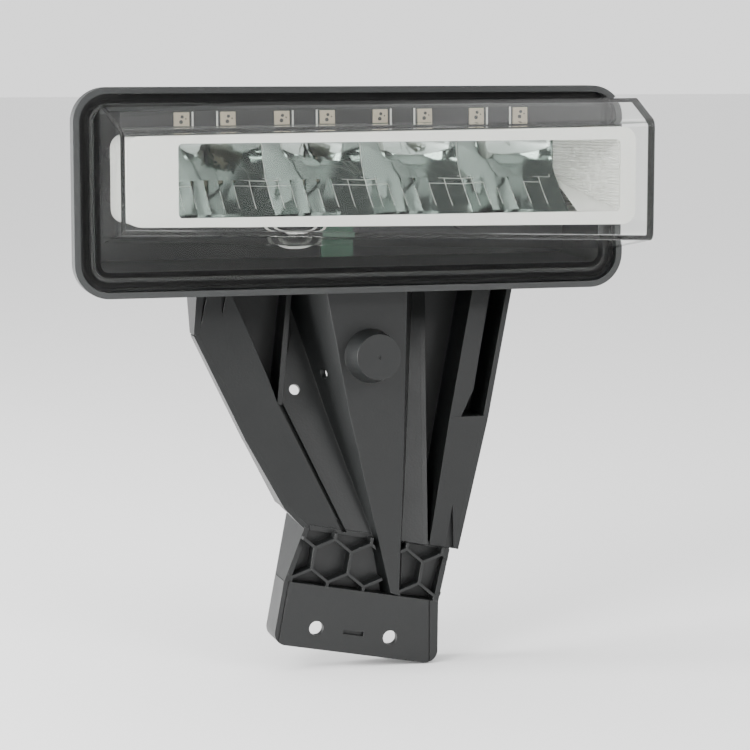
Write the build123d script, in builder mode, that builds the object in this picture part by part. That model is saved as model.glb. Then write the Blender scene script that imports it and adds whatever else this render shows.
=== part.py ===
"""Auxiliary driving light: a sealed lamp with four reflector bowls and a strip of running lights,
carried by a ribbed moulded bracket that bolts to a vehicle by its foot.

Millimetres. The lamp faces -Y and +Z is up. The origin is the middle of the two bolt holes, on the
front face of the foot.
"""
from math import cos, hypot, radians, sin, tan
import os

from build123d import *

os.makedirs("parts", exist_ok=True)

# Foot and bolt holes
FOOT_ANGLE = 10.5
BOLT_SPACING = 37.0
BOLT_HOLE = 7.0
BOLT_BOSS = 14.0
FOOT_LEFT = 38.3
FOOT_RIGHT_TOP = 39.2
FOOT_RIGHT_BOTTOM = 44.5
FOOT_TOP = 20.5
FOOT_BOTTOM = 10.0
FOOT_CORNER = 6.0
FOOT_PLATE = 4.0
FOOT_DEPTH = 18.0
FOOT_SLOT = (10.0, 2.0)
FOOT_GROOVE = (0.9, 0.5)

# Neck with its honeycomb, in the foot's own leaning frame
NECK_TOP = 46.5
NECK_LEFT = 31.2
NECK_RIGHT = 42.3
COMB_PITCH = 18.0
COMB_RIB = 1.4
COMB_DEPTH = 8.0
COMB_CENTRE = (-16.8, 33.0)

# Bracket walls, and how far its faces lean back as they rise
WALL = 2.6
ARM_FRONT = 6.0
ARM_LEAN = 8.0
SHEET_LEAN = 18.0
RIDGE_LEAN = 4.0
RIDGE_TAPER = 20.0
ARM_DEPTH = 25.0
SIDE_DEPTH = 10.0
GROOVE_DEPTH = 14.5
NECK_DEPTH = 44.0
BOSS_FACE_R = 10.8
BOSS_TAPER = 8.0
BOSS_HEIGHT = 15.0
BOSS_PLACE = (11.0, 132.0)
PEEK_HOLE = 5.2

# Lamp flange, sealing channel and tub
LAMP_HEIGHT = 211.5
FLANGE_FRONT = 6.0
FLANGE = (264.0, 96.0)
FLANGE_CORNER = 16.0
FLANGE_THICK = 9.0
RIM = 3.0
CHANNEL_WIDTH = 6.5
CHANNEL_DEPTH = 7.0
TUB_DEPTH = 50.0
TUB_WALL = 2.5
TUB_DRAFT = 2.0
REAR_BOSS = 3.0

# Clear lens, with its section at the inboard and the outboard end as (forward, up)
LENS_WALL = 2.5
LENS_LEFT = -120.5
LENS_RIGHT = 125.5
LENS_DEPTH = 57.0
LENS_EDGE = 2.0
TONGUE_WIDTH = 2.5
TONGUE_DEPTH = 3.5
SKIRT_BACK = 1.0

# Reflector bowls
CELLS = 4
CELL_PITCH = 46.4
FOCAL = 10.3
VERTEX = -7.0
LED_LEVEL = 24.0
BOWL_FLOOR = -8.8
BOWL_WALL = 1.6
BOWL_FRONT = 42.5
MIDLINE = 5.5
STEP = 1.0
FACETS = 7

# Bezel
BEZEL_LEFT = -115.8
BEZEL_RIGHT = 121.0
BEZEL_FRONT = 45.0
BEZEL_TOP = 28.65
BEZEL_LOW_LEFT = -12.5
BEZEL_LOW_RIGHT = -15.0
BEZEL_WALL = 1.6
BEZEL_CORNER = 6.5
BEZEL_BACK = 12.0
BROW_TILT = 0.6
WING_RIGHT = 113.5
WING_START = 14.0
FLUTES = 22

# Boards, light sources and cooling
BOARD = 1.6
LED_BOARD_BACK = -12.0
LED_BOARD_FRONT = 8.0
MAIN_LED = (5.0, 5.0, 0.8)
SINK_FRONT = 9.0
SINK_BACK = -36.0
SINK_PLATE = 3.0
SINK_DROP = 8.0
FINS = 15
STRIP_LEFT = -112.0
STRIP_RIGHT = 117.0
STRIP_LOW = 29.2
STRIP_HIGH = 37.0
STRIP_LED = (7.0, 6.2, 1.4)
STRIP_LED_LEVEL = 33.4
STRIP_PAIR = 21.3
STRIP_SHIFT = -4.0
TRIM = 0.9
TRIM_REACH = 34.0

# Clearance between pieces that pass one another, and screws
GAP = 0.4
SCREW_R = 1.5
SCREW_HEAD_R = 3.0
SCREW_HEAD = 2.0
SCREW_LENGTH = 9.0
BRACKET_SCREW_R = 2.2
BRACKET_HEAD_R = 5.0
BRACKET_HEAD = 3.5
SLIP = 0.1

# Outlines of the bracket's faces as (x, z), from the top down and round
LAMP_Y = -FLANGE_FRONT
TUB_INSET = RIM + CHANNEL_WIDTH
DECK_TOP = LAMP_HEIGHT - FLANGE[1] / 2 + TUB_INSET - GAP
DECK_THICK = 3.0
DECK_FRONT = FLANGE_THICK - FLANGE_FRONT + 1.0
ARM_TOP = DECK_TOP - DECK_THICK / 2
PLATE_FRONT = TUB_DEPTH - FLANGE_FRONT + REAR_BOSS
PLATE_THICK = 3.0
PLATE_TOP = LAMP_HEIGHT + 26.0
PLATE_LEFT = -66.0
PLATE_RIGHT = 82.0
NECK_Z = NECK_TOP * cos(radians(FOOT_ANGLE))
NECK_SLOPE = tan(radians(FOOT_ANGLE))


def neck_z(x):
    """Height of the neck's upper edge, where the arms end."""
    return NECK_Z + 1.3 - x * NECK_SLOPE


LEFT_ARM = [
    (-68.0, ARM_TOP), (-71.0, 143.0), (-48.0, 93.5), (-30.5, 61.0), (-21.0, neck_z(-21.0)),
    (-4.5, neck_z(-4.5)), (-34.5, 110.0), (-38.0, 120.5), (-58.5, ARM_TOP),
]
SHEET = [
    (-21.0, 141.0), (-31.0, 108.5), (-4.0, neck_z(-4.0)), (37.0, neck_z(37.0)), (47.5, ARM_TOP),
    (-24.0, ARM_TOP),
]
RIDGE = [
    (-11.5, ARM_TOP), (0.0, 104.5), (18.6, 18.4), (22.6, 17.0), (25.7, 72.0), (29.8, ARM_TOP),
]
RIGHT_ARM = [
    (62.0, 99.0), (53.0, 99.0), (51.0, 89.5), (40.5, neck_z(40.5)), (52.5, neck_z(52.5)), (70.0, 99.0),
]
RIGHT_STRIP = [(69.5, ARM_TOP), (53.0, 99.0), (57.0, 99.0), (64.5, 113.0), (77.0, ARM_TOP)]
LEFT_POCKET = [(-58.5, ARM_TOP), (-38.0, 120.5), (-31.0, 108.5), (-21.0, 141.0), (-22.0, ARM_TOP)]
RIGHT_POCKET = [(47.5, ARM_TOP), (37.0, neck_z(37.0)), (40.5, neck_z(40.5)), (53.0, 99.0), (69.5, ARM_TOP)]
OUTER_POCKET = [(69.5, ARM_TOP), (53.0, 99.0), (70.0, 99.0), (87.0, ARM_TOP)]


def foot_plane(back=0.0):
    """Plane of the foot's face, moved back, with its X along the foot's sloping edges."""
    a = radians(FOOT_ANGLE)
    return Plane(origin=(0, back, 0), x_dir=(cos(a), 0, -sin(a)), z_dir=(0, -1, 0))


def foot_to_xz(u, w):
    """World x and z of a point in the foot's own frame."""
    a = radians(FOOT_ANGLE)
    return (u * cos(a) + w * sin(a), -u * sin(a) + w * cos(a))


def lean_plane(lean, front=ARM_FRONT, base=NECK_Z):
    """Plane whose face leans back as it rises; it passes through y = front at z = base."""
    a = radians(lean)
    return Plane(origin=(0, front, base), x_dir=(1, 0, 0), z_dir=(0, -cos(a), sin(a)))


def lean_y(z, lean):
    """Y of an arm's face at height z."""
    return ARM_FRONT + (z - NECK_Z) * tan(radians(lean))


def outline_on(points, lean, base=NECK_Z):
    """Points (x, z) as they lie in a leaning plane."""
    c = cos(radians(lean))
    return [(x, (z - base) / c) for x, z in points]


def panel(points, lean, setback=0.0, thick=WALL):
    """Adds a moulded panel with its face on a leaning plane."""
    with BuildSketch(lean_plane(lean).offset(-setback)) as face:
        with BuildLine():
            Polyline(*outline_on(points, lean), close=True)
        make_face()
    extrude(face.sketch, amount=-thick)


def web(start, end, front, back, thick=WALL):
    """Adds a wall that runs back from the line start-end; front and back give its y at both ends."""
    length = hypot(end[0] - start[0], end[1] - start[1])
    along = ((end[0] - start[0]) / length, 0, (end[1] - start[1]) / length)
    across = (-along[2], 0, along[0])
    with BuildSketch(Plane(origin=(start[0], 0, start[1]), x_dir=along, z_dir=across)) as side:
        with BuildLine():
            Polyline((0, front[0]), (length, front[1]), (length, back[1]), (0, back[0]), close=True)
        make_face()
    extrude(side.sketch, amount=thick / 2, both=True)


def arm_web(start, end, lean, depth):
    """Adds the side wall of an arm, as deep all along."""
    front = (lean_y(start[1], lean), lean_y(end[1], lean))
    web(start, end, front, (front[0] + depth, front[1] + depth))


# Wedge ridge down the middle of the bracket, and the hollow behind its face
RIDGE_BASE = 17.0


def ridge_tool(inset, setback):
    """The ridge's tapered block, with its outline drawn in by inset and its face set back."""
    plane = lean_plane(RIDGE_LEAN, 0.0, RIDGE_BASE)
    with BuildPart() as tool:
        with BuildSketch(plane.offset(-setback)):
            with BuildLine():
                Polyline(*outline_on(RIDGE, RIDGE_LEAN, RIDGE_BASE), close=True)
            make_face()
            offset(amount=-inset + setback * tan(radians(RIDGE_TAPER)), kind=Kind.INTERSECTION)
        extrude(amount=-(ARM_DEPTH + ARM_DEPTH), taper=-RIDGE_TAPER)
    return tool.part


def behind_sheet(setback):
    """All that lies behind the leaning sheet, and behind the honeycomb's floor below it."""
    top_z = ARM_TOP + 40.0
    far = 400.0
    with BuildPart() as tool:
        with BuildSketch(Plane.YZ.offset(-far / 2)):
            with BuildLine():
                Polyline(
                    (COMB_DEPTH + setback, -40.0), (COMB_DEPTH + setback, NECK_Z - 6.0),
                    (lean_y(NECK_Z, SHEET_LEAN) + setback, NECK_Z),
                    (lean_y(top_z, SHEET_LEAN) + setback, top_z), (far, top_z), (far, -40.0), close=True,
                )
            make_face()
        extrude(amount=far)
    return tool.part


ridge_hollow = ridge_tool(WALL, WALL)
with BuildPart() as ridge_shell:
    add(ridge_tool(0.0, 0.0))
    add(ridge_hollow, mode=Mode.SUBTRACT)
    add(behind_sheet(WALL), mode=Mode.SUBTRACT)
    split(bisect_by=Plane.XY.offset(ARM_TOP), keep=Keep.BOTTOM)

# Bracket: one black moulding from the bolt foot up to the lamp
FOOT_OUTLINE = [
    (-FOOT_LEFT, FOOT_TOP), (FOOT_RIGHT_TOP, FOOT_TOP), (FOOT_RIGHT_BOTTOM, -FOOT_BOTTOM),
    (-FOOT_LEFT, -FOOT_BOTTOM),
]
NECK_OUTLINE = [
    (-FOOT_LEFT, FOOT_TOP - WALL), (FOOT_RIGHT_TOP, FOOT_TOP - WALL), (NECK_RIGHT, NECK_TOP),
    (-NECK_LEFT, NECK_TOP),
]
RIB_RECESS = 0.6
ROW_PITCH = COMB_PITCH * sin(radians(60))
CELL_RADIUS = (COMB_PITCH - COMB_RIB) / 3**0.5
FLANK_HOLE = (-18.0, 22.0, 122.5)
PLATE_WINDOW = (64.0, 30.0)
PLATE_RIB = 8.0
BRACKET_SCREWS = [(-52.0, -16.0), (-52.0, 16.0), (66.0, -16.0), (66.0, 16.0)]
SCREW_CLEAR_R = BRACKET_SCREW_R + GAP


def comb_cells():
    """Cuts the honeycomb's six-sided cells, two interleaved grids of them."""
    with Locations(COMB_CENTRE):
        with GridLocations(COMB_PITCH, 2 * ROW_PITCH, 9, 3):
            RegularPolygon(CELL_RADIUS, 6, rotation=90, mode=Mode.SUBTRACT)
    with Locations((COMB_CENTRE[0] + COMB_PITCH / 2, COMB_CENTRE[1] + ROW_PITCH)):
        with GridLocations(COMB_PITCH, 2 * ROW_PITCH, 9, 3):
            RegularPolygon(CELL_RADIUS, 6, rotation=90, mode=Mode.SUBTRACT)


with BuildPart() as bracket:
    # Leaning sheet behind the arms, with the ridge standing on it
    panel(SHEET, SHEET_LEAN)
    add(ridge_hollow, mode=Mode.SUBTRACT)
    add(ridge_shell.part)

    # Arms and the floors of the pockets between them
    panel(LEFT_ARM, ARM_LEAN)
    panel(RIGHT_ARM, ARM_LEAN)
    panel(RIGHT_STRIP, ARM_LEAN)
    panel(LEFT_POCKET, ARM_LEAN, ARM_DEPTH - WALL)
    panel(RIGHT_POCKET, ARM_LEAN, ARM_DEPTH - WALL)
    panel(OUTER_POCKET, ARM_LEAN, ARM_DEPTH - WALL)

    # Side walls of the arms
    arm_web(LEFT_ARM[0], LEFT_ARM[1], ARM_LEAN, ARM_DEPTH)
    for start, end in zip(LEFT_ARM[1:4], LEFT_ARM[2:5]):
        arm_web(start, end, ARM_LEAN, SIDE_DEPTH)
    for start, end in zip(LEFT_ARM[6:8], LEFT_ARM[7:9]):
        arm_web(start, end, ARM_LEAN, ARM_DEPTH)
    arm_web(LEFT_ARM[5], LEFT_ARM[6], ARM_LEAN, GROOVE_DEPTH)
    for start, end in zip(RIGHT_POCKET[2:4], RIGHT_POCKET[3:5]):
        arm_web(start, end, ARM_LEAN, ARM_DEPTH)
    arm_web(OUTER_POCKET[3], OUTER_POCKET[2], ARM_LEAN, ARM_DEPTH)
    arm_web(OUTER_POCKET[2], RIGHT_ARM[4], ARM_LEAN, ARM_DEPTH)
    arm_web(OUTER_POCKET[1], OUTER_POCKET[2], ARM_LEAN, ARM_DEPTH)
    web(RIGHT_POCKET[0], RIGHT_POCKET[1],
        (lean_y(ARM_TOP, SHEET_LEAN), lean_y(neck_z(37.0), SHEET_LEAN)),
        (lean_y(ARM_TOP, ARM_LEAN) + ARM_DEPTH, lean_y(neck_z(37.0), ARM_LEAN) + ARM_DEPTH))
    web(LEFT_POCKET[4], LEFT_POCKET[2],
        (lean_y(ARM_TOP, 12.0), lean_y(LEFT_POCKET[2][1], 12.0)),
        (lean_y(ARM_TOP, ARM_LEAN) + ARM_DEPTH, lean_y(LEFT_POCKET[2][1], ARM_LEAN) + ARM_DEPTH))

    # Neck: honeycomb ribs on a floor, between two deep side walls
    with BuildSketch(foot_plane(COMB_DEPTH)):
        with BuildLine():
            Polyline(*NECK_OUTLINE, close=True)
        make_face()
    extrude(amount=-WALL)
    with BuildSketch(foot_plane(RIB_RECESS)):
        with BuildLine():
            Polyline(*NECK_OUTLINE, close=True)
        make_face()
        comb_cells()
    extrude(amount=-(COMB_DEPTH - RIB_RECESS))
    web(foot_to_xz(-FOOT_LEFT + WALL / 2, FOOT_TOP - 1), foot_to_xz(-NECK_LEFT + WALL / 2, NECK_TOP),
        (0.0, ARM_FRONT), (FOOT_DEPTH, NECK_DEPTH))
    web(foot_to_xz(FOOT_RIGHT_TOP - WALL / 2, FOOT_TOP - 1), foot_to_xz(NECK_RIGHT - WALL / 2, NECK_TOP),
        (0.0, ARM_FRONT), (FOOT_DEPTH, ARM_FRONT + ARM_DEPTH))
    web(foot_to_xz(-NECK_LEFT + WALL, NECK_TOP), foot_to_xz(NECK_RIGHT - WALL, NECK_TOP),
        (ARM_FRONT, ARM_FRONT), (ARM_FRONT + ARM_DEPTH, ARM_FRONT + ARM_DEPTH))

    # Foot: an open-backed plate with a tube behind each bolt hole
    with BuildSketch(foot_plane()) as foot_face:
        with BuildLine():
            Polyline(*FOOT_OUTLINE, close=True)
        make_face()
        fillet(foot_face.vertices().sort_by(Axis.Y)[:2], FOOT_CORNER)
    extrude(amount=-FOOT_DEPTH)
    with BuildSketch(foot_plane(FOOT_PLATE)) as foot_hollow:
        with BuildLine():
            Polyline(*FOOT_OUTLINE, close=True)
        make_face()
        fillet(foot_hollow.vertices().sort_by(Axis.Y)[:2], FOOT_CORNER)
        offset(amount=-WALL)
    extrude(amount=-FOOT_DEPTH, mode=Mode.SUBTRACT)
    with BuildSketch(foot_plane()):
        with GridLocations(BOLT_SPACING, 0, 2, 1):
            Circle(BOLT_BOSS / 2)
    extrude(amount=-FOOT_DEPTH)
    with BuildSketch(foot_plane()):
        with GridLocations(BOLT_SPACING, 0, 2, 1):
            Circle(BOLT_HOLE / 2)
        Rectangle(*FOOT_SLOT)
    extrude(amount=-FOOT_DEPTH, mode=Mode.SUBTRACT)

    # Round boss on the ridge, cored from behind
    ridge_face = lean_plane(RIDGE_LEAN, 0.0, RIDGE_BASE)
    boss_place = outline_on([BOSS_PLACE], RIDGE_LEAN, RIDGE_BASE)
    with BuildSketch(ridge_face):
        with Locations(*boss_place):
            Circle(BOSS_FACE_R + BOSS_HEIGHT * tan(radians(BOSS_TAPER)))
    extrude(amount=BOSS_HEIGHT, taper=BOSS_TAPER)
    with BuildSketch(ridge_face.offset(-WALL)):
        with Locations(*boss_place):
            Circle(BOSS_FACE_R - WALL)
    extrude(amount=BOSS_HEIGHT, mode=Mode.SUBTRACT)

    # Round holes through the sheet and through the ridge's flank
    with BuildSketch(lean_plane(SHEET_LEAN)):
        with Locations(*outline_on([(-21.5, 114.5)], SHEET_LEAN)):
            Circle(PEEK_HOLE / 2)
    extrude(amount=-3 * WALL, mode=Mode.SUBTRACT)
    with BuildSketch(Plane.YZ.offset(FLANK_HOLE[0])):
        with Locations((FLANK_HOLE[1], FLANK_HOLE[2])):
            Circle(PEEK_HOLE / 2)
    extrude(amount=16.0, mode=Mode.SUBTRACT)

    # Deck under the lamp and the plate behind it
    with BuildSketch(Plane.XY.offset(DECK_TOP)):
        with Locations(((PLATE_LEFT - 6 + PLATE_RIGHT + 6) / 2, (DECK_FRONT + PLATE_FRONT + PLATE_THICK) / 2)):
            Rectangle(PLATE_RIGHT - PLATE_LEFT + 12, PLATE_FRONT + PLATE_THICK - DECK_FRONT)
    extrude(amount=-DECK_THICK)
    with BuildSketch(Plane.XZ.offset(-PLATE_FRONT)):
        with Locations(((PLATE_LEFT + PLATE_RIGHT) / 2, (DECK_TOP - DECK_THICK + PLATE_TOP) / 2)):
            RectangleRounded(PLATE_RIGHT - PLATE_LEFT, PLATE_TOP - DECK_TOP + DECK_THICK, 2.0)
        with Locations(((PLATE_LEFT + PLATE_RIGHT) / 2, LAMP_HEIGHT)):
            RectangleRounded(*PLATE_WINDOW, 4.0, mode=Mode.SUBTRACT)
        with Locations(*[(x, LAMP_HEIGHT + z) for x, z in BRACKET_SCREWS]):
            Circle(SCREW_CLEAR_R, mode=Mode.SUBTRACT)
    extrude(amount=-PLATE_THICK)
    for x in (-36.0, 50.0):
        web((x, DECK_TOP - DECK_THICK), (x, PLATE_TOP - 4), (PLATE_FRONT + PLATE_THICK,) * 2,
            (PLATE_FRONT + PLATE_THICK + PLATE_RIB, PLATE_FRONT + PLATE_THICK + 2))
bracket.part.label = "bracket"
export_step(bracket.part, "parts/bracket.step")


def lamp_plane(forward=0.0):
    """Plane of the lamp's front, moved forward; local X and Y are the lamp's right and up."""
    return Plane(origin=(0, LAMP_Y - forward, LAMP_HEIGHT), x_dir=(1, 0, 0), z_dir=(0, -1, 0))


def side_plane(x):
    """Upright plane across the lamp at x; local X is forward and local Y is up."""
    return Plane(origin=(x, LAMP_Y, LAMP_HEIGHT), x_dir=(0, -1, 0), z_dir=(-1, 0, 0))


def level_plane(up):
    """Level plane in the lamp at a height over its middle; local Y is forward."""
    return Plane(origin=(0, LAMP_Y, LAMP_HEIGHT + up), x_dir=(1, 0, 0), z_dir=(0, 0, -1))


def brow_plane(forward):
    """Plane of the running-light strip, tilted a little to follow the lens."""
    a = radians(BROW_TILT)
    return Plane(origin=(0, LAMP_Y - forward, LAMP_HEIGHT), x_dir=(cos(a), 0, sin(a)), z_dir=(0, -1, 0))


def flange_outline(inset, mode=Mode.ADD):
    """Draws the flange's outline, drawn in by inset."""
    corner = max(FLANGE_CORNER - inset, 3.0)
    RectangleRounded(FLANGE[0] - 2 * inset, FLANGE[1] - 2 * inset, corner, mode=mode)


# Places that several pieces share, in the lamp's own frame
CHANNEL_INNER = RIM + CHANNEL_WIDTH
SKIRT_INSET = RIM + 2.0
INNER_INSET = CHANNEL_INNER + TUB_WALL
BACK_INSIDE = -(TUB_DEPTH - TUB_WALL)
EAR_BACK = -10.0
EAR_THICK = 2.0
EAR_X = 104.0
EAR_LEVELS = (16.0, -4.0)
POST_R = 4.0
SINK_POSTS = [(-80.0, 19.0), (80.0, 19.0)]
DRIVER_BACK = -16.0
DRIVER_POSTS = [(-50.0, -4.0), (-6.0, 2.0)]
REAR_BOSS_R = 6.5
SOCKET_PLACE = (8.0, 0.0)
SOCKET = (24.0, 16.0)
SOCKET_NECK = (18.0, 9.0)
VENT_PLACE = (30.0, 0.0)
VENT_R = 4.0
EAR_PLACES = [(x, z) for x in (-EAR_X, EAR_X) for z in EAR_LEVELS]

# Housing: flange with a sealing channel round a drafted tub
with BuildPart() as housing:
    with BuildSketch(lamp_plane()):
        flange_outline(0)
    extrude(amount=-FLANGE_THICK)
    with BuildSketch(lamp_plane(-CHANNEL_DEPTH)):
        flange_outline(CHANNEL_INNER)
    extrude(amount=-(TUB_DEPTH - CHANNEL_DEPTH), taper=TUB_DRAFT)
    with BuildSketch(lamp_plane(-FLANGE_THICK)):
        flange_outline(INNER_INSET)
    extrude(amount=-(TUB_DEPTH - FLANGE_THICK - TUB_WALL), taper=TUB_DRAFT, mode=Mode.SUBTRACT)
    with BuildSketch(lamp_plane()):
        flange_outline(INNER_INSET)
    extrude(amount=-FLANGE_THICK, mode=Mode.SUBTRACT)
    with BuildSketch(lamp_plane()):
        flange_outline(RIM)
        flange_outline(CHANNEL_INNER, Mode.SUBTRACT)
    extrude(amount=-CHANNEL_DEPTH, mode=Mode.SUBTRACT)
    with BuildSketch(lamp_plane()):
        flange_outline(RIM)
    extrude(amount=-SKIRT_BACK, mode=Mode.SUBTRACT)
    # Posts that carry the inner pieces, each with a pilot hole for its screw
    for places, seat in ((EAR_PLACES, EAR_BACK), (SINK_POSTS, SINK_BACK), (DRIVER_POSTS, DRIVER_BACK)):
        with BuildSketch(lamp_plane(seat)):
            with Locations(*places):
                Circle(POST_R)
        extrude(amount=BACK_INSIDE - seat)
        with BuildSketch(lamp_plane(seat)):
            with Locations(*places):
                Circle(SCREW_R)
        extrude(amount=-SCREW_LENGTH, mode=Mode.SUBTRACT)
    # Bosses on the back for the bracket's screws, and openings for socket and vent
    with BuildSketch(lamp_plane(-TUB_DEPTH + TUB_WALL / 2)):
        with Locations(*BRACKET_SCREWS):
            Circle(REAR_BOSS_R)
    extrude(amount=-(REAR_BOSS + TUB_WALL / 2))
    with BuildSketch(lamp_plane(BACK_INSIDE)):
        with Locations(*BRACKET_SCREWS):
            Circle(REAR_BOSS_R)
    extrude(amount=6.0)
    with BuildSketch(lamp_plane(-TUB_DEPTH - REAR_BOSS)):
        with Locations(*BRACKET_SCREWS):
            Circle(BRACKET_SCREW_R)
    extrude(amount=SCREW_LENGTH, mode=Mode.SUBTRACT)
    with BuildSketch(lamp_plane(BACK_INSIDE)):
        with Locations(SOCKET_PLACE):
            RectangleRounded(SOCKET_NECK[0] + 2 * GAP, SOCKET_NECK[1] + 2 * GAP, 2.0)
        with Locations(VENT_PLACE):
            Circle(VENT_R / 2 + GAP)
    extrude(amount=-TUB_WALL, mode=Mode.SUBTRACT)
housing.part.label = "housing"
export_step(housing.part, "parts/housing.step")

# Seal: soft bead that fills the channel under the lens
with BuildPart() as lens_seal:
    with BuildSketch(lamp_plane(-CHANNEL_DEPTH)):
        flange_outline(RIM)
        flange_outline(CHANNEL_INNER, Mode.SUBTRACT)
    extrude(amount=CHANNEL_DEPTH - SKIRT_BACK - TONGUE_DEPTH)
lens_seal.part.label = "lens_seal"
export_step(lens_seal.part, "parts/lens_seal.step")

# Lens: a flat skirt with a tongue in the channel, and a deep box that tapers along its length
LENS_INBOARD = [(0.0, -22.5), (LENS_DEPTH, -15.0), (LENS_DEPTH, 30.0), (6.0, 40.6), (0.0, 41.0)]
LENS_OUTBOARD = [(0.0, -30.0), (LENS_DEPTH, -21.5), (LENS_DEPTH, 32.5), (34.0, 42.6), (0.0, 42.8)]


def lens_block(inset, back):
    """Solid of the lens box, drawn in by inset, from a level `back` forward."""
    with BuildPart() as block:
        for x, points in ((LENS_LEFT + inset, LENS_INBOARD), (LENS_RIGHT - inset, LENS_OUTBOARD)):
            with BuildSketch(side_plane(x)) as section:
                with BuildLine():
                    Polyline(*points, close=True)
                make_face()
                if inset:
                    offset(amount=-inset, kind=Kind.INTERSECTION)
                fillet(section.vertices().sort_by(Axis.X)[-3:], LENS_EDGE + (0 if inset else LENS_WALL))
        loft(ruled=True)
        with BuildSketch(lamp_plane(inset)) as base:
            with BuildLine():
                Polyline((LENS_LEFT + inset, LENS_INBOARD[0][1] + inset),
                         (LENS_RIGHT - inset, LENS_OUTBOARD[0][1] + inset),
                         (LENS_RIGHT - inset, LENS_OUTBOARD[4][1] - inset),
                         (LENS_LEFT + inset, LENS_INBOARD[4][1] - inset), close=True)
            make_face()
        extrude(amount=-(inset + back))
    return block.part


with BuildPart() as lens:
    with BuildSketch(lamp_plane(-SKIRT_BACK)):
        flange_outline(SKIRT_INSET)
    extrude(amount=LENS_WALL)
    with BuildSketch(lamp_plane(-SKIRT_BACK)):
        flange_outline(SKIRT_INSET)
        flange_outline(SKIRT_INSET + TONGUE_WIDTH, Mode.SUBTRACT)
    extrude(amount=-TONGUE_DEPTH)
    add(lens_block(0.0, SKIRT_BACK))
    with BuildSketch(lamp_plane(-SKIRT_BACK)):
        flange_outline(0)
        flange_outline(SKIRT_INSET, Mode.SUBTRACT)
    extrude(amount=SKIRT_BACK, mode=Mode.SUBTRACT)
    add(lens_block(LENS_WALL, SKIRT_BACK), mode=Mode.SUBTRACT)
lens.part.label = "lens"
export_step(lens.part, "parts/lens.step")

# Reflector: four bowls in a row, each a paraboloid about its light source, faceted below the midline
CELL_X = [CELL_PITCH * (i - (CELLS - 1) / 2) for i in range(CELLS)]
ROW_HALF = CELLS * CELL_PITCH / 2
BOWL_REACH = 52.0
BOWL_SETBACK = 3.0
LED_OPENING = MAIN_LED[0] + 1.0
FOCUS = VERTEX + FOCAL


def rise(offset_from_axis):
    """How far forward a bowl's surface stands, at a distance from its axis."""
    return offset_from_axis**2 / (4 * FOCAL)


def bowl_row(setback, half, low, high):
    """Solid in front of the four paraboloids, within the given half width and levels."""
    with BuildPart() as row:
        for x in CELL_X:
            start = (x, LAMP_Y - VERTEX + setback, LAMP_HEIGHT + LED_LEVEL)
            with BuildSketch(Plane(origin=start, x_dir=(1, 0, 0), z_dir=(0, 0, -1))):
                with BuildLine():
                    rim = (BOWL_REACH, rise(BOWL_REACH))
                    Bezier((0, 0), (BOWL_REACH / 2, 0), rim)
                    Polyline(rim, (0, rim[1]), (0, 0))
                make_face()
            revolve(axis=Axis(start, (0, -1, 0)))
        with BuildSketch(lamp_plane(BOWL_FRONT)):
            with Locations((0, (low + high) / 2)):
                Rectangle(2 * half, high - low)
        extrude(amount=-(BOWL_FRONT - VERTEX + 2 * setback), mode=Mode.INTERSECT)
    return row.part


def facet_strips():
    """Solid in front of the flat-across strips below the midline."""
    width = CELL_PITCH / FACETS
    top_drop = LED_LEVEL - MIDLINE
    low_drop = LED_LEVEL - BOWL_FLOOR
    far = 2 * BOWL_FRONT
    with BuildPart() as strips:
        for x in CELL_X:
            for i in range(FACETS):
                near_side = i * width - CELL_PITCH / 2
                turn = rise(near_side + width) - rise(near_side)
                start = VERTEX + STEP + rise(near_side)
                upper = (start + rise(top_drop), MIDLINE)
                lower = (start + rise(low_drop), BOWL_FLOOR)
                pull = upper[0] + top_drop / (2 * FOCAL) * (low_drop - top_drop) / 2
                with BuildSketch(side_plane(x + near_side)):
                    with BuildLine():
                        Bezier(upper, (pull, (MIDLINE + BOWL_FLOOR) / 2), lower)
                        Polyline(lower, (far, BOWL_FLOOR), (far, MIDLINE), upper)
                    make_face()
                extrude(amount=hypot(width, turn), dir=(width, -turn, 0))
    return strips.part


with BuildPart() as reflector:
    add(bowl_row(BOWL_SETBACK, ROW_HALF + BOWL_WALL, BOWL_FLOOR - BOWL_WALL, LED_LEVEL + BOWL_WALL))
    add(bowl_row(0.0, ROW_HALF, MIDLINE, LED_LEVEL), mode=Mode.SUBTRACT)
    add(facet_strips(), mode=Mode.SUBTRACT)
    with BuildSketch(level_plane(LED_LEVEL + BOWL_WALL)):
        with Locations(*[(x, FOCUS) for x in CELL_X]):
            Rectangle(LED_OPENING, LED_OPENING)
    extrude(amount=BOWL_WALL, mode=Mode.SUBTRACT)
    # Ears at both ends, with legs along the end walls
    for side in (-1, 1):
        with BuildSketch(lamp_plane(EAR_BACK)):
            with Locations((side * (ROW_HALF + EAR_X + 6) / 2, sum(EAR_LEVELS) / 2)):
                Rectangle(EAR_X + 6 - ROW_HALF, EAR_LEVELS[0] - EAR_LEVELS[1] + 8)
        extrude(amount=EAR_THICK)
        with BuildSketch(lamp_plane(EAR_BACK)):
            with Locations((side * (ROW_HALF + BOWL_WALL), sum(EAR_LEVELS) / 2)):
                Rectangle(BOWL_WALL, EAR_LEVELS[0] - EAR_LEVELS[1] + 8)
        extrude(amount=BOWL_FRONT / 2 - EAR_BACK)
    with BuildSketch(lamp_plane(EAR_BACK)):
        with Locations(*EAR_PLACES):
            Circle(SCREW_R + GAP)
    extrude(amount=EAR_THICK, mode=Mode.SUBTRACT)
reflector.part.label = "reflector"
export_step(reflector.part, "parts/reflector.step")

# Bezel: pale frame round the bowls, with a fluted wing at the outboard end
WING_LEFT = ROW_HALF + BOWL_WALL * 1.5 + GAP
WING_THICK = 2.2
WING_FRONT = BEZEL_FRONT - BEZEL_WALL / 2
FLUTE_R = 0.68
LEG = (5.0, 9.0)
LEG_LEVEL = sum(EAR_LEVELS) / 2


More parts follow.
